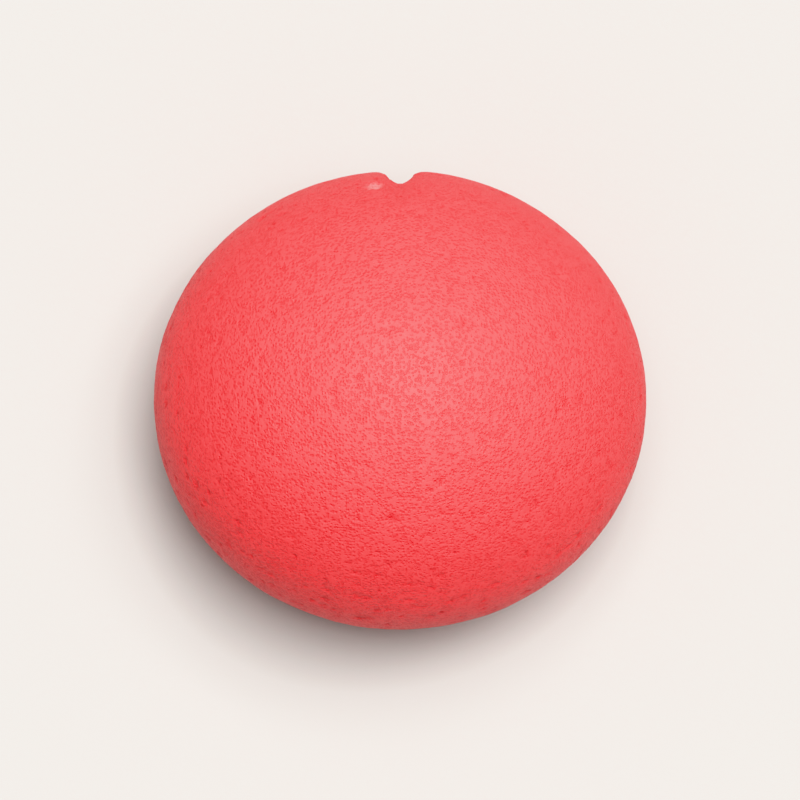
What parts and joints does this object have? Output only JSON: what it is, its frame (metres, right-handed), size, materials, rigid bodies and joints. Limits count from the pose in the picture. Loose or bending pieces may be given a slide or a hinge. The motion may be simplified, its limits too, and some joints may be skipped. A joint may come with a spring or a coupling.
{
  "type": "clown nose",
  "caption": "Red ball of soft foam with a flat back, a hollow that slips over the tip of a nose and a slit up through the crown.",
  "frame": {"origin": "middle of the flat back, which the nose lies on", "axes": "+Z is the front of the ball, +Y is up as it is worn, towards the slit, and +X is to the right seen from the front"},
  "size_m": [0.0514, 0.0479, 0.0457],
  "materials": {
    "red_foam": "matt open-cell polyurethane foam, dyed through"
  },
  "bodies": {
    "root": {"foam_nose": "red_foam"}
  },
  "joints": []
}
